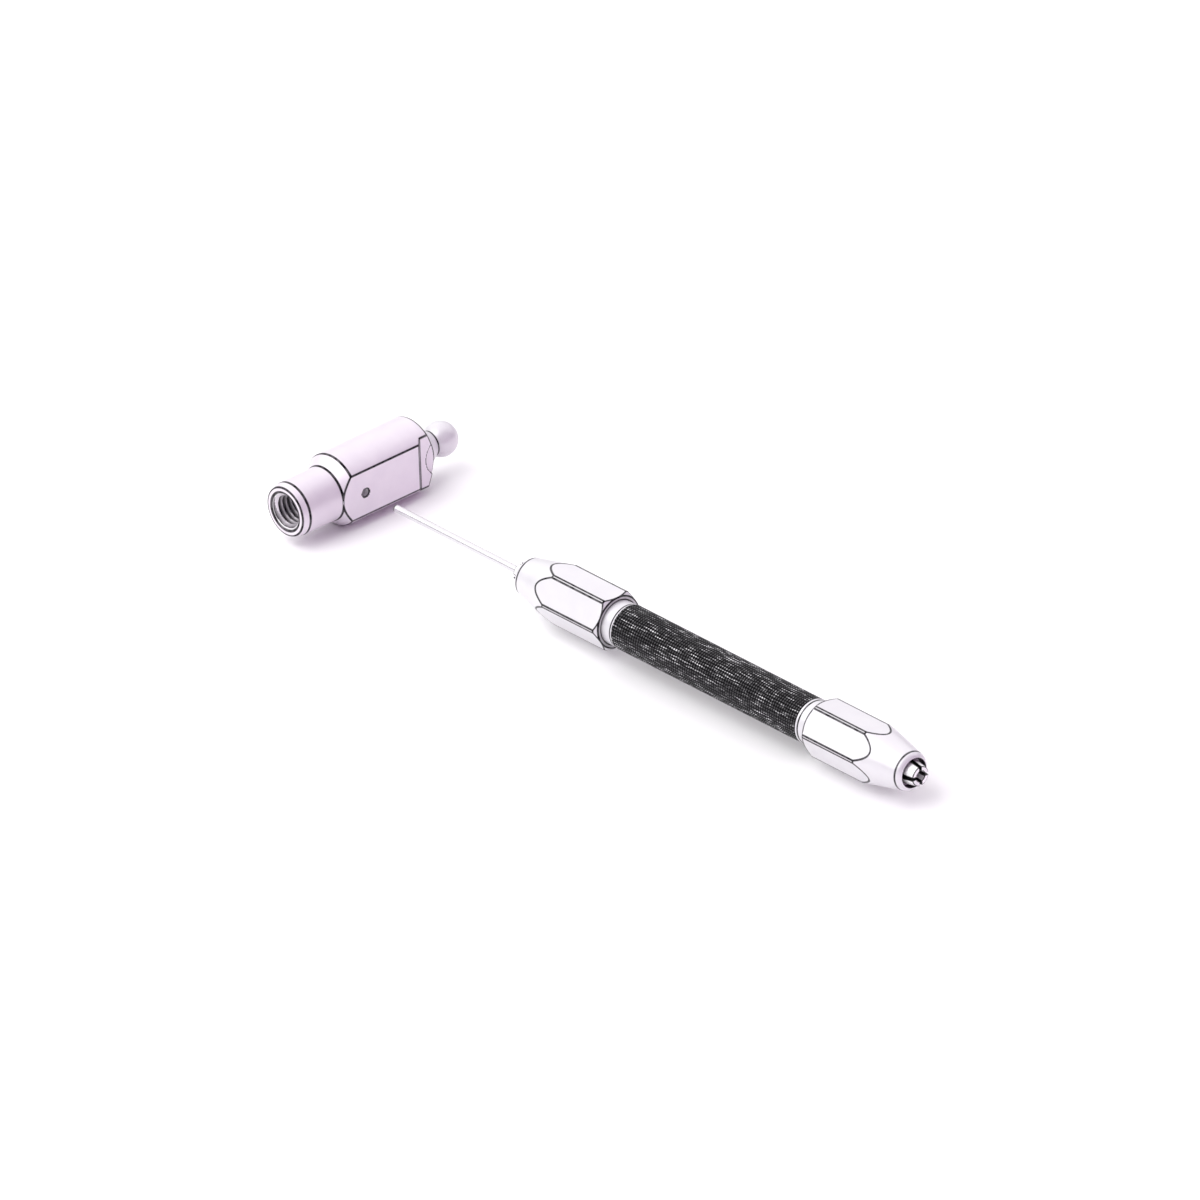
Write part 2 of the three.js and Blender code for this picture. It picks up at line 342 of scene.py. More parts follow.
STREAK_SCALE = 620.0
STREAK_STRETCH = (0.6, 6.5, 6.5)
RUBBED_LEAST = 0.09
RUBBED_FROM = 0.56
RUBBED_FULL = 0.7
CREST_POWER = 2.5
PIT_SCALE = 4000.0
PIT_BUMP = 0.1
PIT_DEPTH = 0.00001


class Nodes:
    """A material's node tree, with short ways to add nodes and links."""

    def __init__(self, name):
        self.material = bpy.data.materials.new(name)
        self.material.use_nodes = True
        self.tree = self.material.node_tree
        self.shader = self.tree.nodes["Principled BSDF"]

    def add(self, kind, **settings):
        node = self.tree.nodes.new(kind)
        for key, value in settings.items():
            setattr(node, key, value)
        return node

    def link(self, source, target):
        self.tree.links.new(source, target)

    def noise(self, scale, stretch=(1, 1, 1), detail=3.0):
        coordinates = self.add("ShaderNodeTexCoord")
        mapping = self.add("ShaderNodeMapping")
        mapping.inputs["Scale"].default_value = stretch
        noise = self.add("ShaderNodeTexNoise")
        noise.inputs["Scale"].default_value = scale
        noise.inputs["Detail"].default_value = detail
        self.link(coordinates.outputs["Object"], mapping.inputs["Vector"])
        self.link(mapping.outputs["Vector"], noise.inputs["Vector"])
        return noise.outputs["Fac"]

    def span(self, source, low, high, from_low=0.3, from_high=0.7):
        """The source's middle range stretched to low..high."""
        node = self.add("ShaderNodeMapRange")
        node.inputs["From Min"].default_value = from_low
        node.inputs["From Max"].default_value = from_high
        node.inputs["To Min"].default_value = low
        node.inputs["To Max"].default_value = high
        self.link(source, node.inputs["Value"])
        return node.outputs["Result"]

    def mix(self, share, first, second):
        """A mix of two colours; each is a colour or a socket."""
        node = self.add("ShaderNodeMix", data_type="RGBA")
        self.link(share, node.inputs["Factor"])
        for value, socket in ((first, node.inputs[COLOUR_A]), (second, node.inputs[COLOUR_B])):
            if isinstance(value, tuple):
                socket.default_value = (*value, 1)
            else:
                self.link(value, socket)
        return node.outputs[COLOUR_RESULT]

    def math(self, operation, first, second):
        node = self.add("ShaderNodeMath", operation=operation)
        for value, socket in ((first, node.inputs[0]), (second, node.inputs[1])):
            if isinstance(value, float):
                socket.default_value = value
            else:
                self.link(value, socket)
        return node.outputs[0]

    def edge_line(self):
        return self.add("ShaderNodeAttribute", attribute_name="edge_line").outputs["Fac"]

    def bump(self, height, strength, distance):
        node = self.add("ShaderNodeBump")
        node.inputs["Strength"].default_value = strength
        node.inputs["Distance"].default_value = distance
        self.link(height, node.inputs["Height"])
        self.link(node.outputs["Normal"], self.shader.inputs["Normal"])


def steel(name, colour, shade, roughness, metallic, grain, coat=0.0):
    """Satin or ground steel: machining grain, faint clouding, and black lines on its edges."""
    nodes = Nodes(name)
    clouds = nodes.noise(CLOUD_SCALE)
    marks = nodes.noise(GRAIN_SCALE, grain, GRAIN_DETAIL)
    tone = nodes.mix(nodes.span(clouds, 0.0, 1.0), colour, shade)
    scratched = nodes.mix(nodes.span(marks, 0.0, GRAIN_SHARE, 0.45, 0.75), tone, shade)
    broken = nodes.span(nodes.noise(LINE_WEAR_SCALE), LINE_WEAR, 1.0)
    drawn = nodes.span(nodes.edge_line(), 0.0, 1.0, LINE_FAINT, LINE_FULL)
    line = nodes.math("MULTIPLY", drawn, broken)
    nodes.link(nodes.mix(line, scratched, LINE), nodes.shader.inputs["Base Color"])
    rough = nodes.span(marks, roughness - 0.05, roughness + 0.08)
    nodes.link(rough, nodes.shader.inputs["Roughness"])
    nodes.link(nodes.span(line, metallic, 1.0, 0.0, 1.0), nodes.shader.inputs["Metallic"])
    nodes.shader.inputs["Coat Weight"].default_value = coat
    nodes.bump(marks, SOFT_BUMP, GRAIN_DEPTH)
    return nodes.material


def knurl_metal():
    """Blackened knurl: grooves stay black, and the crests are rubbed bright in places."""
    nodes = Nodes("blackened_knurl")
    streaks = nodes.noise(STREAK_SCALE, STREAK_STRETCH, 1.0)
    rubbed = nodes.span(streaks, RUBBED_LEAST, 1.0, RUBBED_FROM, RUBBED_FULL)
    crest = nodes.math("SUBTRACT", 1.0, nodes.edge_line())
    bright = nodes.math("MULTIPLY", rubbed, nodes.math("POWER", crest, CREST_POWER))
    colour = nodes.mix(bright, BLACKENED, RUBBED)
    nodes.link(colour, nodes.shader.inputs["Base Color"])
    nodes.link(nodes.span(streaks, 0.38, 0.6), nodes.shader.inputs["Roughness"])
    nodes.shader.inputs["Metallic"].default_value = 1.0
    nodes.bump(nodes.noise(PIT_SCALE), PIT_BUMP, PIT_DEPTH)
    return nodes.material


WHITE = (0.74, 0.73, 0.75)
PEARL = (0.71, 0.695, 0.725)
LILAC = (0.785, 0.735, 0.79)
DEEP_LILAC = (0.747, 0.695, 0.758)
BRIGHT = (0.95, 0.95, 0.95)
LINE = (0.003, 0.002, 0.004)
BLACKENED = (0.004, 0.004, 0.005)
RUBBED = (0.75, 0.74, 0.76)
ROUND_Y = (1, 12, 1)
ROUND_X = (12, 1, 1)
ALONG_X = (1, 9, 9)

HEAD_STEEL = steel(
    "satin_head_steel", LILAC, DEEP_LILAC, roughness=0.38, metallic=0.25, grain=ROUND_Y
)
NUT_STEEL = steel(
    "satin_nut_steel", WHITE, PEARL, roughness=0.36, metallic=0.3, grain=ROUND_X
)
BALL_STEEL = steel(
    "polished_ball_steel", WHITE, PEARL, roughness=0.32, metallic=0.2, grain=ROUND_Y, coat=0.1
)
PIN_STEEL = steel(
    "ground_pin_steel", WHITE, PEARL, roughness=0.2, metallic=0.85, grain=ALONG_X
)
SPRING_STEEL = steel(
    "spring_steel", BRIGHT, WHITE, roughness=0.32, metallic=0.3, grain=ALONG_X
)
# painted light: a whiter, non-metal copy of the steel that lifts the shade in the head's
# countersink and cross hole
BORE_STEEL_PAINTED_LIGHT = steel(
    "bore_steel_painted_light", BRIGHT, WHITE, roughness=0.3, metallic=0.0, grain=ALONG_X
)
NECK_STEEL = steel(
    "turned_neck_steel", WHITE, PEARL, roughness=0.36, metallic=0.3, grain=ROUND_X
)
KNURL_METAL = knurl_metal()

# ---- Head ------------------------------------------------------------------------------------

HEAD_PLACE = (CROSS_HOLE, Y, X)
LINE_WIDTH = 0.2
CREASE_REACH = 1.0
HEAD_CORNER = 0.16
HEAD_STEP = 0.22
HEAD_SIDES = 256
HEAD_CREASE = 0.04
LEAST_SLOPE = 0.15
STEEPEST = 9.0
# painted shade: how dark the thread in the bore is drawn, and how much darker in its roots
THREAD_PAINTED_SHADE = 0.28
THREAD_ROOT_PAINTED_SHADE = 0.22
UNROUNDED = 0.0001
CUTTER_OVERSHOOT = 1.0
END_CONE_SLOPE = (HEAD_RADIUS - HEAD_END_RADIUS) / (HEAD_END - HEAD_END_CONE_FROM)
SHOULDER_EASE = 0.3


def line_at(distance):
    return np.exp(-((distance / LINE_WIDTH) ** 2))


def soft_min(first, second, blend):
    """The lesser of two radii, with the crease between them rounded."""
    gap = np.clip(0.5 + 0.5 * (second - first) / blend, 0, 1)
    return second * (1 - gap) + first * gap - blend * gap * (1 - gap)


def thread_depth(turns):
    """0 at a crest and 1 at a root of the thread, for a place counted in turns."""
    return np.clip(np.abs((turns % 1.0) * 2 - 1) * 1.5 - 0.25, 0, 1)


def flat_reach(height):
    """How far the milled flats are from the head's axis, at a height along it."""
    step = np.clip(height - DEEP_FLAT_FROM, 0, FLAT_HALF - DEEP_FLAT_HALF)
    reach = FLAT_HALF - step
    return np.where(height < SHOULDER_FROM - SHOULDER_EASE, HEAD_RADIUS * 4, reach)


def head_outside(sides):
    outline, flags = rounded(
        [
            (STUD_HOLE_RADIUS, STUD_HOLE_BOTTOM),
            (STUD_HOLE_RADIUS, HEAD_END),
            (HEAD_END_RADIUS, HEAD_END),
            (HEAD_RADIUS, HEAD_END_CONE_FROM),
            (HEAD_RADIUS, SHOULDER_TO),
            (SPIGOT_RADIUS, SHOULDER_FROM),
            (SPIGOT_RADIUS, SPIGOT_LEAD_AT),
            (FACE_RADIUS, FACE_AT),
            (COUNTERSINK_RADIUS, FACE_AT),
        ],
        HEAD_CORNER,
    )
    outline, flags = fine(outline, flags, HEAD_STEP)
    flags[-2:] = 1.0
    radius = outline[:, :1]
    height = outline[:, 1:]
    angles = np.linspace(0, 2 * math.pi, sides, endpoint=False)[None, :]
    across = np.maximum(np.abs(np.cos(angles)), 1e-6)
    flat = flat_reach(height) / across
    radii = soft_min(radius + 0 * flat, flat, HEAD_CREASE)
    gap = radius - flat
    slope = np.gradient(flat, angles[0], axis=1) / np.maximum(radius, 1)
    apart = 1e-9 * np.arange(len(height))
    lean = np.abs(np.gradient(radius[:, 0], height[:, 0] + apart))
    lean = np.clip(np.nan_to_num(lean, nan=0.0, posinf=STEEPEST), 0, STEEPEST)[:, None]
    creased = (np.abs(gap) < CREASE_REACH) & (height > SHOULDER_FROM)
    creased &= radius > STUD_HOLE_RADIUS + 0.1
    steepness = np.maximum(np.hypot(slope, lean), LEAST_SLOPE)
    lines = np.where(creased, line_at(gap / steepness), 0)
    on_flat = gap > 0
    for step_at in (DEEP_FLAT_FROM, DEEP_FLAT_FROM + FLAT_HALF - DEEP_FLAT_HALF):
        lines = np.where(on_flat, np.maximum(lines, line_at(height - step_at)), lines)
    lines = np.maximum(lines, np.where(on_flat, 0, flags[:, None]))
    return radii, np.broadcast_to(height, radii.shape), lines, angles[0]


def head_socket(angles):
    """The countersink, the helical thread and the drilled bottom, from the face inwards."""
    rows_per_pitch = 14
    step = THREAD_PITCH / rows_per_pitch
    height = np.arange(FACE_AT, SOCKET_BOTTOM, step)[1:, None]
    sink = COUNTERSINK_RADIUS - (height - FACE_AT)
    fade = np.clip((THREAD_TO - height) / THREAD_PITCH, 0, 1)
    depth = thread_depth(height / THREAD_PITCH - angles[None, :] / (2 * math.pi))
    thread = THREAD_CREST + (THREAD_ROOT - THREAD_CREST) * depth * fade
    radii = np.maximum(sink, thread)
    # painted shade: the thread is drawn darker everywhere, most in its roots
    lines = np.where(sink < thread, THREAD_PAINTED_SHADE + THREAD_ROOT_PAINTED_SHADE * depth * fade, 0)
    lines = np.maximum(lines, line_at(height - FACE_AT))
    bottom = np.array([[THREAD_CREST, SOCKET_BOTTOM], [0.0, SOCKET_BOTTOM + DRILL_POINT]])
    radii = np.vstack([radii, np.repeat(bottom[:, :1], len(angles), 1)])
    height = np.vstack([height, bottom[:, 1:]])
    lines = np.vstack([lines, np.zeros((2, len(angles)))])
    return radii, np.broadcast_to(height, radii.shape), lines


def cross_hole_cutter():
    lip = 0.12
    reach = FLAT_HALF + CUTTER_OVERSHOOT
    points = [
        (0, -reach),
        (CROSS_HOLE_RADIUS + lip + CUTTER_OVERSHOOT, -reach),
        (CROSS_HOLE_RADIUS, -FLAT_HALF + lip),
        (CROSS_HOLE_RADIUS, -FLAT_HALF + 2 * lip),
        (CROSS_HOLE_RADIUS, FLAT_HALF - 2 * lip),
        (CROSS_HOLE_RADIUS, FLAT_HALF - lip),
        (CROSS_HOLE_RADIUS + lip + CUTTER_OVERSHOOT, reach),
        (0, reach),
    ]
    place = (CROSS_HOLE, X, Y)
    return plain_turned("cross_hole_cutter", points, place, UNROUNDED, step=20.0, sides=48)


def spot_face_cutter(outward):
    points = [
        (0, SPOT_FACE_DEPTH),
        (SPOT_FACE_RADIUS, SPOT_FACE_DEPTH),
        (SPOT_FACE_RADIUS, HEAD_RADIUS + CUTTER_OVERSHOOT),
        (0, HEAD_RADIUS + CUTTER_OVERSHOOT),
    ]
    place = (CROSS_HOLE + MM * SPOT_FACE_AT * Y, outward, Y)
    return plain_turned("spot_face_cutter", points, place, UNROUNDED, step=0.2, sides=128)


def cut(piece, cutter):
    """Takes the cutter out of the piece, for good."""
    modifier = piece.modifiers.new("cut", "BOOLEAN")
    modifier.operation = "DIFFERENCE"
    modifier.solver = "EXACT"
    modifier.object = cutter
    bpy.context.view_layer.update()
    graph = bpy.context.evaluated_depsgraph_get()
    mesh = bpy.data.meshes.new_from_object(piece.evaluated_get(graph))
    piece.modifiers.clear()
    old = piece.data
    piece.data = mesh
    bpy.data.meshes.remove(old)
    bpy.data.objects.remove(cutter)


def line_the_cuts(piece):
    """Draws the cross hole's rims and the spot faces' edges as edge lines."""
    rim_line = 0.32
    rim_depth = 0.15
    spot_line = 0.11
    cone_line = 0.12
    on_face = 0.02
    mesh = piece.data
    points = np.empty(len(mesh.vertices) * 3)
    mesh.vertices.foreach_get("co", points)
    points = (points.reshape(-1, 3) - CROSS_HOLE) / MM
    values = np.empty(len(mesh.vertices))
    attribute = mesh.attributes["edge_line"]
    attribute.data.foreach_get("value", values)
    off_axis = np.hypot(points[:, 1], points[:, 2])
    on_rim = off_axis < CROSS_HOLE_RADIUS + rim_line
    on_rim &= np.abs(points[:, 0]) > FLAT_HALF - rim_depth
    from_axis = np.hypot(points[:, 1] - SPOT_FACE_AT, points[:, 2])
    depth = np.abs(points[:, 0]) - SPOT_FACE_DEPTH
    at_spot = (depth > -on_face) & (np.abs(from_axis - SPOT_FACE_RADIUS) < spot_line)
    from_head = np.hypot(points[:, 0], points[:, 2])
    end_cone = HEAD_RADIUS - (points[:, 1] - HEAD_END_CONE_FROM) * END_CONE_SLOPE
    at_spot |= (np.abs(depth) < on_face) & (np.abs(from_head - end_cone) < cone_line)
    at_spot &= points[:, 1] > DEEP_FLAT_FROM
    attribute.data.foreach_set("value", np.where(on_rim | at_spot, 1.0, values))
    # painted light: the cross hole's walls take the whiter bore steel, which lifts their shade
    for polygon in mesh.polygons:
        centre = (np.array(polygon.center) - CROSS_HOLE) / MM
        if math.hypot(centre[1], centre[2]) < CROSS_HOLE_RADIUS + 0.01:
            polygon.material_index = 1


def head():
    radii, heights, lines, angles = head_outside(HEAD_SIDES)
    inner = head_socket(angles)
    pole = np.zeros((1, len(angles)))
    top = np.full((1, len(angles)), STUD_HOLE_BOTTOM)
    radii = np.vstack([pole, radii, inner[0]])
    heights = np.vstack([top, heights, inner[1]])
    lines = np.vstack([pole, lines, inner[2]])
    slots = np.zeros(len(radii), int)
    # painted light: the countersink's rows take the whiter bore steel, which lifts the
    # countersink's own shadow
    slots[-len(inner[0]) :] = inner[0].min(axis=1) > THREAD_ROOT
    piece = turned("head", radii, heights, angles, lines, HEAD_PLACE, slots)
    cut(piece, cross_hole_cutter())
    for outward in (X, -X):
        cut(piece, spot_face_cutter(outward))
    line_the_cuts(piece)
    piece.data.shade_smooth()
    piece.data.set_sharp_from_angle(angle=SHARP_FROM)
    piece.data.materials.append(HEAD_STEEL)
    piece.data.materials.append(BORE_STEEL_PAINTED_LIGHT)
    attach(piece, "head")
    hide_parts("head_body")


def ball():
    start = math.degrees(math.asin((NECK_TO - BALL_AT) / BALL_RADIUS))
    points = [
        (0, STUD_HOLE_BOTTOM + SHANK_GAP),
        (STUD_HOLE_RADIUS - SHANK_GAP, STUD_HOLE_BOTTOM + SHANK_GAP),
        (STUD_HOLE_RADIUS - SHANK_GAP, HEAD_END + SHANK_GAP),
        (HEAD_END_RADIUS - SHANK_GAP, HEAD_END + SHANK_GAP),
        (NECK_RADIUS, NECK_TO),
        *arc(0, BALL_AT, BALL_RADIUS, start, 90, 40)[1:],
    ]
    points[-1] = (0, BALL_AT + BALL_RADIUS)
    piece = plain_turned("ball", points, HEAD_PLACE, corner=0.1, step=0.4, sides=128)
    piece.data.materials.append(BALL_STEEL)
    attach(piece, "head")
    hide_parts("ball_stud")


# ---- Pin and barrel --------------------------------------------------------------------------


def pin():
    low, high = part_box("pin")
    half = (high[0] - low[0]) / MM / 2
    ease = 0.6
    points = [
        (0, -half),
        (PIN_RADIUS - 2 * PIN_CHAMFER, -half),
        (PIN_RADIUS - PIN_CHAMFER, -half),
        (PIN_RADIUS, -half + PIN_CHAMFER),
        (PIN_RADIUS, -half + ease),
        (PIN_RADIUS, half - ease),
        (PIN_RADIUS, half - PIN_CHAMFER),
        (PIN_RADIUS - PIN_CHAMFER, half),
        (PIN_RADIUS - 2 * PIN_CHAMFER, half),
        (0, half),
    ]
    place = (PIN_AXIS, X, Y)
    piece = plain_turned("lever_pin", points, place, corner=0.06, step=1.0, sides=64)
    piece.data.materials.append(PIN_STEEL)
    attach(piece, "pin")
    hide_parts("pin")


KNURL_PLACES = np.array([0.0, 0.5, 0.75])
KNURL_GROOVE = [0.0, 0.0, 1.0]


def knurl():
    """Radii, heights and lines of the knurled stretch: flat crests between V grooves."""
    rings = np.arange(KNURL_RINGS)[:, None]
    height = ((rings + KNURL_PLACES) / KNURL_RINGS).reshape(-1)
    height = KNURL_FULL_TO * (2 * height - 1)
    ring_groove = np.tile(KNURL_GROOVE, KNURL_RINGS)[:, None]
    grooves = np.arange(KNURL_GROOVES)[:, None]
    angles = ((grooves + KNURL_PLACES) / KNURL_GROOVES).reshape(-1) * 2 * math.pi
    axial_groove = np.tile(KNURL_GROOVE, KNURL_GROOVES)[None, :]
    groove = np.maximum(ring_groove, axial_groove)
    return KNURL_CREST - KNURL_DEPTH * groove, height[:, None], groove, angles


def barrel():
    radii, heights, lines, angles = knurl()
    root = BARREL_THREAD_RADIUS
    end, flags = fine(
        *rounded(
            [
                (KNURL_CREST, KNURL_FULL_TO),
                (BARREL_NECK_RADIUS, KNURL_END),
                (BARREL_NECK_RADIUS, BARREL_NECK_TO),
                (root, BARREL_NECK_TO + THREAD_RUNOUT),
                (root, BARREL_END - THREAD_LEAD_LENGTH),
                (root - THREAD_LEAD_DEPTH, BARREL_END),
                (SEAT_RADIUS, BARREL_END),
                (SEAT_RADIUS, SEAT_BOTTOM),
                (BARREL_BORE, SEAT_BOTTOM),
            ],
            0.1,
        ),
        0.15,
    )
    flags = flags[:, None]
    flags[0] = 1.0
    wide = np.ones((1, len(angles)))
    start = end[::-1] * (1, -1)
    radii = np.vstack([start[:, :1] * wide, radii, end[:, :1] * wide, start[:1, :1] * wide])
    heights = np.vstack([start[:, 1:], heights, end[:, 1:], start[:1, 1:]])
    lines = np.vstack([flags[::-1] * wide, lines, flags * wide, flags[-1:] * wide])
    slots = np.zeros(len(radii), int)
    slots[len(start) : -len(end) - 1] = 1
    piece = turned("knurled_barrel", radii, heights, angles, lines, (BARREL_MIDDLE, X, Y), slots)
    piece.data.materials.append(NECK_STEEL)
    piece.data.materials.append(KNURL_METAL)
    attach(piece, "barrel")
    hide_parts("barrel")


# ---- Nuts and collets ------------------------------------------------------------------------


def nut_outline():
    cone = math.atan(NOSE_SLOPE)
    centre = NOSE_RING_RADIUS - NOSE_ROUND * math.cos(cone)
    centre_at = NOSE_RING_AT - NOSE_ROUND * math.sin(cone)
    end = math.degrees(math.acos((MOUTH_RADIUS - centre) / NOSE_ROUND))
    bore = BARREL_NECK_RADIUS + NUT_NECK_GAP
    thread = BARREL_THREAD_RADIUS + NUT_THREAD_GAP
    return [
        (bore, NUT_ENTRY_TO),
        (bore, NUT_BACK),
        (NUT_BACK_RADIUS, NUT_BACK),
        (HEX_CORNER_RADIUS, NUT_BACK + NUT_CHAMFER),
        (HEX_CORNER_RADIUS, HEX_TO),
        *arc(centre, centre_at, NOSE_ROUND, math.degrees(cone), end, 12),
        (MOUTH_RADIUS, RING_POCKET_TO),
        (RING_POCKET_RADIUS, RING_POCKET_TO),
        (RING_POCKET_RADIUS, RING_POCKET_FROM),
        (NUT_BORE_RADIUS, RING_POCKET_FROM),
        (NUT_BORE_RADIUS, NUT_THREAD_TO),
        (thread, NUT_THREAD_TO),
        (thread, NUT_ENTRY_TO),
        (bore, NUT_ENTRY_TO),
    ]


# painted shade: the grey tone put on the nuts' annular back faces
BACK_FACE_PAINTED_SHADE = 0.27
BACK_LEAN = {"front": 0.6, "rear": 1.4}  # how wide the lines at the back chamfer are
NUT_CORNER = 0.1
NUT_STEP = 0.2
NUT_LEAST_TURN = 10.0
NUT_LEAST_SLOPE = 0.12
NUT_CREASE = 0.03
NUT_SAMPLES = 36
OUTER_SHARE = 0.62  # of the outline's points, counted from the nut's back
HEX_DEPTH = 2.2
NOSE_LINE_OFF_MOUTH = 0.3
ON_MOUTH = 0.08
NEARLY = 0.01


def nut(end):
    outline, flags = fine(*rounded(nut_outline(), NUT_CORNER, least_turn=NUT_LEAST_TURN), NUT_STEP)
    nose_line = line_at(outline[:, 1] - NOSE_RING_AT)
    nose_line *= outline[:, 0] > MOUTH_RADIUS + NOSE_LINE_OFF_MOUTH
    # the mouth's bore is drawn black from the nose round back to the ring pocket: its edge line,
    # and painted shade inside the mouth
    mouth_painted_shade = (np.abs(outline[:, 0] - MOUTH_RADIUS) < ON_MOUTH) & (outline[:, 1] > JAW_CONE_FROM)
    flags = np.maximum(np.maximum(flags, nose_line), mouth_painted_shade)[:, None]
    radius = outline[:, :1]
    height = outline[:, 1:]
    turn = REAR_NUT_TURN if end == "rear" else 0.0
    share = np.linspace(-1, 1, NUT_SAMPLES, endpoint=False)
    within = np.radians(30) * np.sin(share * math.pi / 2)
    centres = np.radians(np.arange(30, 390, 60))[:, None]
    local = np.tile(within, 6)[None, :]
    angles = (centres + within[None, :]).reshape(-1)
    flat = HEX_APOTHEM / np.cos(local)
    outside = (radius > HEX_APOTHEM - HEX_DEPTH) & (height >= NUT_BACK - NEARLY)
    first_part = np.arange(len(radius))[:, None] < len(radius) * OUTER_SHARE
    is_outer = outside & first_part
    gap = radius - flat
    steep = HEX_APOTHEM * np.sin(local) / np.cos(local) ** 2 / HEX_CORNER_RADIUS
    chamfer_to = NUT_BACK + NUT_CHAMFER + NEARLY
    lean = np.where(height < chamfer_to, BACK_LEAN[end], 0.0)
    lean = np.where(height > HEX_TO, NOSE_SLOPE, lean)
    crease = line_at(gap / np.maximum(np.hypot(steep, lean), NUT_LEAST_SLOPE))
    lines = np.where(is_outer, crease, 0)
    lines = np.maximum(lines, np.where(is_outer & (gap > 0), 0, flags))
    # painted shade: the nut's annular back face gets a fixed grey tone
    back_face = (np.abs(height - NUT_BACK) < NEARLY) & (radius < NUT_BACK_RADIUS)
    lines = np.where(back_face, np.maximum(lines, BACK_FACE_PAINTED_SHADE), lines)
    radii = np.where(is_outer, soft_min(radius + 0 * flat, flat, NUT_CREASE), radius)
    place = (BARREL_MIDDLE, OUTWARD[end], Y)
    piece = turned(f"{end}_nose_nut", radii, height, angles + turn, lines, place)
    piece.data.materials.append(NUT_STEEL)
    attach(piece, f"{end}_nut")
    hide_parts(f"{end}_nut")


def jaw_section(inner, outer, half, steps=10):
    """One jaw's cross-section: a quarter ring between two slots, in its own quadrant."""
    first = math.asin(half / inner)
    last = math.asin(half / outer)
    inner_angles = np.linspace(first, math.pi / 2 - first, steps)
    outer_angles = np.linspace(math.pi / 2 - last, last, steps)
    inner_points = np.stack([inner * np.cos(inner_angles), inner * np.sin(inner_angles)], 1)
    outer_points = np.stack([outer * np.cos(outer_angles), outer * np.sin(outer_angles)], 1)
    return np.vstack([inner_points, outer_points])


def jaw(end, number):
    node = f"{end}_jaw_{number}"
    bore = BORES[end]
    quadrant = np.sign(middle(node) - BARREL_MIDDLE)
    lip = 0.12
    cone = (JAW_CONE_RADIUS - JAW_TIP_RADIUS) / (JAW_TIP - JAW_CONE_FROM)
    rim = 0.17
    corner_tone = 0.7
    tip_tone = 0.8
    stations = [
        (JAW_FROM, bore, JAW_NECK_RADIUS, 0),
        (JAW_CONE_FROM - JAW_FLARE, bore, JAW_NECK_RADIUS, 0),
        (JAW_CONE_FROM, bore, JAW_CONE_RADIUS, 0),
        (JAW_TIP - 2 * lip, bore, JAW_TIP_RADIUS + 2 * lip * cone, 0),
        (JAW_TIP - lip, bore, JAW_TIP_RADIUS + lip * cone, 1),
        (JAW_TIP - lip / 3, bore + lip / 3, JAW_TIP_RADIUS - lip / 3, 1),
        (JAW_TIP, bore + lip, JAW_TIP_RADIUS - lip, 1),
        (JAW_TIP, bore + rim, JAW_TIP_RADIUS - rim, 0),
    ]
    outward = OUTWARD[end]
    points = []
    lines = []
    for row, (height, inner, outer, on_edge) in enumerate(stations):
        on_face = row == len(stations) - 1
        section = jaw_section(inner, outer, SLOT / 2 + (rim - lip) * on_face)
        corner = np.zeros(len(section))
        if not on_face:
            corner[[0, len(section) // 2 - 1, len(section) // 2, -1]] = corner_tone
        for (side, up), value in zip(section, corner):
            across = side * quadrant[1] * Y + up * quadrant[2] * Z
            points.append(BARREL_MIDDLE + MM * (height * outward + across))
            lines.append(max(value, tip_tone * on_edge))
    count = len(section)
    faces = [tuple(range(count)), tuple(range(len(points) - count, len(points)))]
    for row in range(len(stations) - 1):
        for index in range(count):
            onward = (index + 1) % count
            base = row * count
            faces.append((base + index, base + onward, base + count + onward, base + count + index))
    mesh = bpy.data.meshes.new(f"{node}_finger")
    mesh.from_pydata([tuple(point) for point in points], [], faces)
    attribute = mesh.attributes.new("edge_line", "FLOAT", "POINT")
    attribute.data.foreach_set("value", lines)
    piece = finish_mesh(f"{node}_finger", mesh)
    piece.data.materials.append(SPRING_STEEL)
    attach(piece, node)
    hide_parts(node)


def keep_inner_pieces():
    """The collets' sleeves and the closing rings keep their CAD shape, with a real finish."""
    for end in BORES:
        for name in (f"{end}_collet", f"{end}_closing_ring"):
            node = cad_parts[name]
            node.data.materials.clear()
            node.data.materials.append(SPRING_STEEL)


# ---- Studio ----------------------------------------------------------------------------------

HORIZON = (0.12, 0.11, 0.14, 1.0)
OVERHEAD = (1.0, 0.99, 1.0, 1.0)
PLAIN_WALL = (1.0, 1.0, 1.0, 1.0)
LILAC_WALL = (0.2, 0.15, 0.22, 1.0)
BELOW_FLOOR = (1.0, 1.0, 1.0, 1.0)
WORLD_STRENGTH = 1.35
KEY_FROM = (-0.25, -0.8, 1.0)
KEY_DISTANCE = 1.6
KEY_SIZE = 1.8
KEY_POWER = 15.0
SIDE_FROM = (1.0, 0.1, 0.14)
SIDE_SIZE = 0.8
SIDE_POWER = 5.0
SIDE_COLOUR = (1.0, 0.45, 1.0)
HORIZON_AT = 0.04
OVERHEAD_AT = 0.38
WALL_FROM = 0.1
WALL_FULL_AT = 0.55
FLOOR_HALF = 3.0
PALE = (0.97, 0.97, 0.97)
PALER = (0.98, 0.98, 0.98)
FLOOR_CLOUDS = 3.0


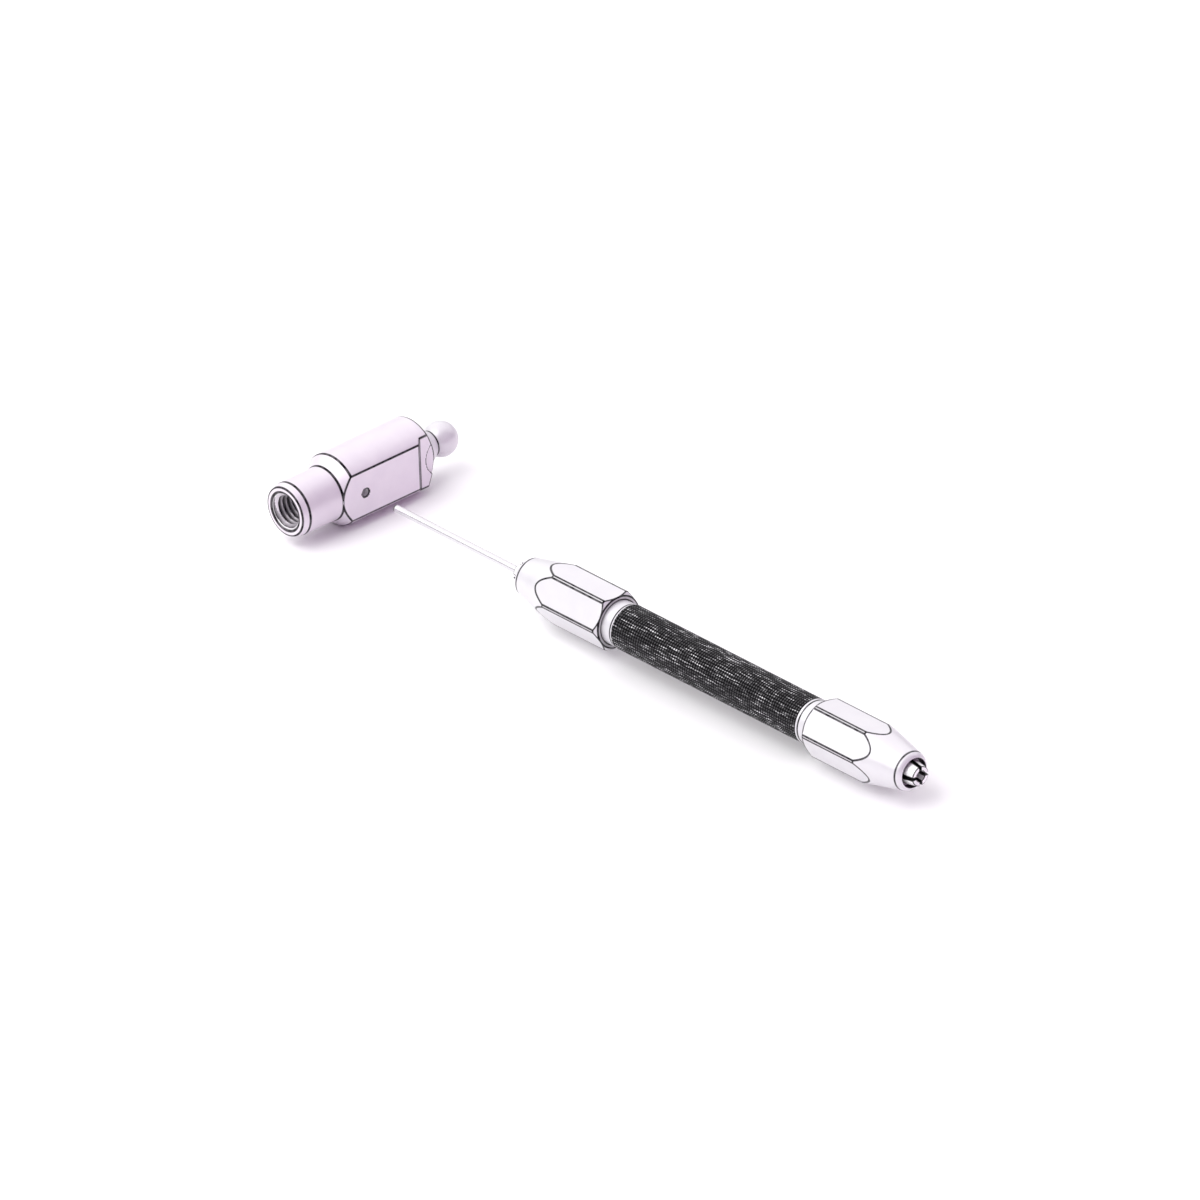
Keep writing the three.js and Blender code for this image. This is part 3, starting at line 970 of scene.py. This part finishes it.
def add_floor():
    far = FLOOR_HALF
    corners = [(-far, -far), (far, -far), (far, far), (-far, far)]
    mesh = bpy.data.meshes.new("floor")
    mesh.from_pydata([(x, y, FLOOR_HEIGHT) for x, y in corners], [], [(0, 1, 2, 3)])
    floor = bpy.data.objects.new("floor", mesh)
    bpy.context.collection.objects.link(floor)
    nodes = Nodes("pale_floor")
    tone = nodes.mix(nodes.noise(FLOOR_CLOUDS), PALE, PALER)
    nodes.link(tone, nodes.shader.inputs["Base Color"])
    nodes.shader.inputs["Roughness"].default_value = 0.9
    nodes.shader.inputs["Specular IOR Level"].default_value = 0.1
    floor.data.materials.append(nodes.material)


def add_light(name, direction, distance, size, power, colour, in_reflections=True):
    data = bpy.data.lights.new(name, "AREA")
    data.shape = "DISK"
    data.size = size
    data.energy = power
    data.color = colour
    light = bpy.data.objects.new(name, data)
    light.visible_camera = False
    light.visible_glossy = in_reflections
    towards = Vector(direction).normalized()
    turn = towards.to_track_quat("Z", "Y").to_matrix().to_4x4()
    light.matrix_world = Matrix.Translation(towards * distance) @ turn
    bpy.context.collection.objects.link(light)


def ramp(tree, source, first_at, first, last_at, last):
    node = tree.nodes.new("ShaderNodeValToRGB")
    for element, position, colour in zip(
        node.color_ramp.elements, (first_at, last_at), (first, last)
    ):
        element.position = position
        element.color = colour
    tree.links.new(source, node.inputs["Fac"])
    return node.outputs["Color"]


def add_world():
    """A pale room: bright overhead, a darker lilac wall on the +X side, white below its floor."""
    world = bpy.data.worlds.new("studio")
    world.use_nodes = True
    tree = world.node_tree
    background = tree.nodes["Background"]
    direction = tree.nodes.new("ShaderNodeTexCoord")
    split = tree.nodes.new("ShaderNodeSeparateXYZ")
    tree.links.new(direction.outputs["Generated"], split.inputs["Vector"])
    height = ramp(tree, split.outputs["Z"], HORIZON_AT, HORIZON, OVERHEAD_AT, OVERHEAD)
    wall = ramp(tree, split.outputs["X"], WALL_FROM, PLAIN_WALL, WALL_FULL_AT, LILAC_WALL)
    mixed = tree.nodes.new("ShaderNodeMix")
    mixed.data_type = "RGBA"
    mixed.blend_type = "MULTIPLY"
    mixed.inputs["Factor"].default_value = 1.0
    tree.links.new(height, mixed.inputs[COLOUR_A])
    tree.links.new(wall, mixed.inputs[COLOUR_B])
    below = tree.nodes.new("ShaderNodeMath")
    below.operation = "LESS_THAN"
    below.inputs[1].default_value = 0.0
    tree.links.new(split.outputs["Z"], below.inputs[0])
    whole = tree.nodes.new("ShaderNodeMix")
    whole.data_type = "RGBA"
    tree.links.new(below.outputs[0], whole.inputs["Factor"])
    tree.links.new(mixed.outputs[COLOUR_RESULT], whole.inputs[COLOUR_A])
    whole.inputs[COLOUR_B].default_value = BELOW_FLOOR
    tree.links.new(whole.outputs[COLOUR_RESULT], background.inputs["Color"])
    background.inputs["Strength"].default_value = WORLD_STRENGTH
    bpy.context.scene.world = world


def add_studio():
    add_floor()
    add_world()
    bpy.context.scene.view_settings.view_transform = "Standard"
    add_light("key", KEY_FROM, KEY_DISTANCE, KEY_SIZE, KEY_POWER, (1.0, 1.0, 1.0))
    add_light("side", SIDE_FROM, KEY_DISTANCE, SIDE_SIZE, SIDE_POWER, SIDE_COLOUR, False)


# ---- The whole object ------------------------------------------------------------------------

add_camera()
add_studio()
head()
ball()
pin()
barrel()
for which_end in BORES:
    nut(which_end)
    for jaw_number in range(1, 5):
        jaw(which_end, jaw_number)
keep_inner_pieces()
